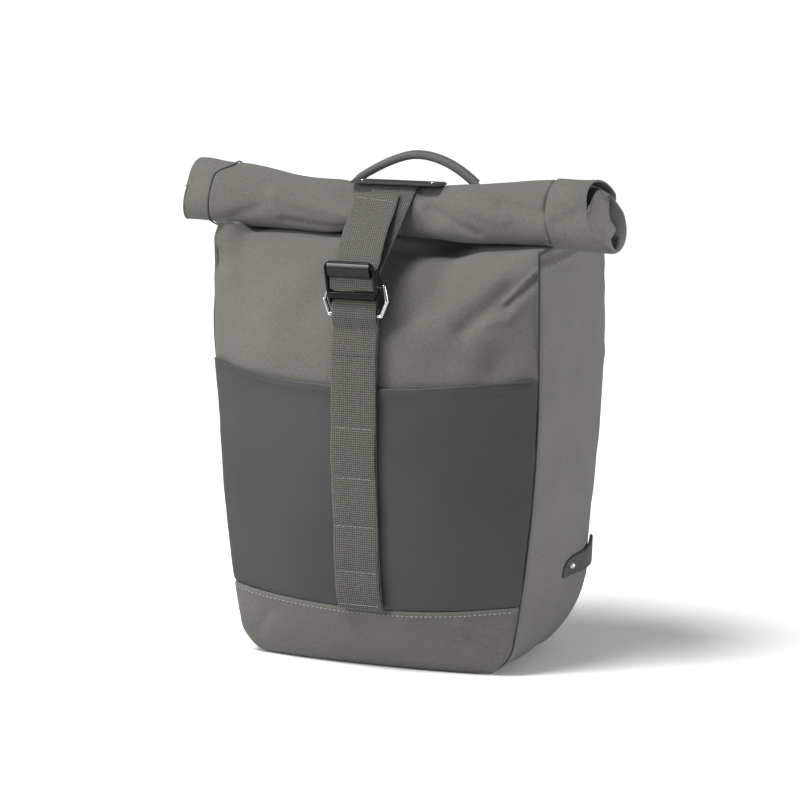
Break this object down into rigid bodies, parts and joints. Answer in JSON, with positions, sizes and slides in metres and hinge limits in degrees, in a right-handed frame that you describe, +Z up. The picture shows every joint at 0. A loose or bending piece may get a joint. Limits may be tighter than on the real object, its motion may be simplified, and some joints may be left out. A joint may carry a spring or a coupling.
{
  "type": "pannier bag",
  "caption": "Roll-top bicycle pannier with a webbing strap and hook buckle, carry handle, and sliding rack hooks on its rear wall.",
  "frame": {"origin": "on the ground plane under the middle of the side panels, at the middle of the width", "axes": "+X to the right seen from the front, +Y towards the rack, +Z up"},
  "size_m": [0.384, 0.256, 0.426],
  "materials": {
    "fabric": "plain weave, warm grey",
    "coated_fabric": "smooth dark satin coating",
    "webbing": "ribbed woven webbing",
    "piping": "thin black cord",
    "leatherette": "fine-grained dark leatherette",
    "rivet": "polished",
    "buckle_metal": "black, satin gloss",
    "ring_metal": "polished wire",
    "board": "black sheet plastic",
    "rack_plastic": "moulded, fine texture",
    "insert_rubber": "soft liner",
    "steel": "zinc plated"
  },
  "bodies": {
    "bag": {"front_panel": "fabric", "pocket_panel": "coated_fabric", "base_band": "fabric", "left_gusset": "fabric", "right_gusset": "fabric", "rear_panel": "fabric", "back_board": "board", "base_panel": "fabric", "base_board": "board", "neck_panel": "fabric", "left_piping": "piping", "right_piping": "piping", "daisy_webbing": "webbing", "left_tab": "leatherette", "right_tab": "leatherette", "tab_rivets": "rivet", "handle_loops": "webbing", "mounting_rail": "rack_plastic", "rail_screws": "steel", "rail_nuts": "steel", "rail_end_caps": "rack_plastic", "lower_track": "rack_plastic", "track_screws": "steel", "track_nuts": "steel"},
    "roll": {"rolled_top": "fabric", "roll_stiffener": "board", "strap_plate": "leatherette", "plate_rivets": "rivet", "strap_root": "webbing"},
    "strap": {"closure_strap": "webbing"},
    "buckle": {"hook_buckle": "buckle_metal"},
    "ring": {"hook_ring": "ring_metal"},
    "handle": {"carry_handle": "fabric"},
    "left_rack_hook": {"left_hook": "rack_plastic", "left_insert": "insert_rubber", "left_latch_pin": "steel", "left_spring": "steel"},
    "right_rack_hook": {"right_hook": "rack_plastic", "right_insert": "insert_rubber", "right_latch_pin": "steel", "right_spring": "steel"},
    "left_hook_latch": {"left_latch": "rack_plastic"},
    "right_hook_latch": {"right_latch": "rack_plastic"},
    "lower_slider": {"lower_carriage": "rack_plastic", "lower_hook_screw": "steel"},
    "lower_rack_hook": {"lower_hook": "rack_plastic"}
  },
  "joints": [
    {"name": "strap_swing", "type": "hinge", "parent": "roll", "child": "strap", "pos_m": [0, -0.05661, 0.38542], "axis": [1, 0, 0], "range_deg": [-140, 0]},
    {"name": "roll_tilt", "type": "hinge", "parent": "bag", "child": "roll", "pos_m": [0, -0.008, 0.394], "axis": [1, 0, 0], "range_deg": [-21, 0]},
    {"name": "buckle_tilt", "type": "hinge", "parent": "strap", "child": "buckle", "pos_m": [0, -0.125, 0.33004], "axis": [1, 0, 0], "range_deg": [-14, 0]},
    {"name": "ring_tilt", "type": "hinge", "parent": "bag", "child": "ring", "pos_m": [0, -0.12, 0.3], "axis": [1, 0, 0], "range_deg": [0, 49]},
    {"name": "handle_tilt", "type": "hinge", "parent": "bag", "child": "handle", "pos_m": [0, 0.002, 0.397], "axis": [1, 0, 0], "range_deg": [-100, 5]},
    {"name": "left_hook_slide", "type": "slide", "parent": "bag", "child": "left_rack_hook", "axis": [1, 0, 0], "range_m": [-0.02, 0.02]},
    {"name": "right_hook_slide", "type": "slide", "parent": "bag", "child": "right_rack_hook", "axis": [1, 0, 0], "range_m": [-0.02, 0.02]},
    {"name": "left_latch_turn", "type": "hinge", "parent": "left_rack_hook", "child": "left_hook_latch", "pos_m": [-0.06, 0.103, 0.327], "axis": [1, 0, 0], "range_deg": [-40, 0], "stiffness_Nm_per_rad": 0.03},
    {"name": "right_latch_turn", "type": "hinge", "parent": "right_rack_hook", "child": "right_hook_latch", "pos_m": [0.06, 0.103, 0.327], "axis": [1, 0, 0], "range_deg": [-40, 0], "stiffness_Nm_per_rad": 0.03},
    {"name": "lower_hook_slide", "type": "slide", "parent": "bag", "child": "lower_slider", "axis": [1, 0, 0], "range_m": [-0.04, 0.04]},
    {"name": "lower_hook_turn", "type": "hinge", "parent": "lower_slider", "child": "lower_rack_hook", "pos_m": [0, 0.091, 0.095], "axis": [0, 1, 0], "range_deg": [-40, 40]}
  ],
  "couplings": [
    {"joint": "roll_tilt", "follows": "strap_swing", "ratio": 0.15},
    {"joint": "buckle_tilt", "follows": "strap_swing", "ratio": 0.1},
    {"joint": "ring_tilt", "follows": "strap_swing", "ratio": -0.35}
  ]
}
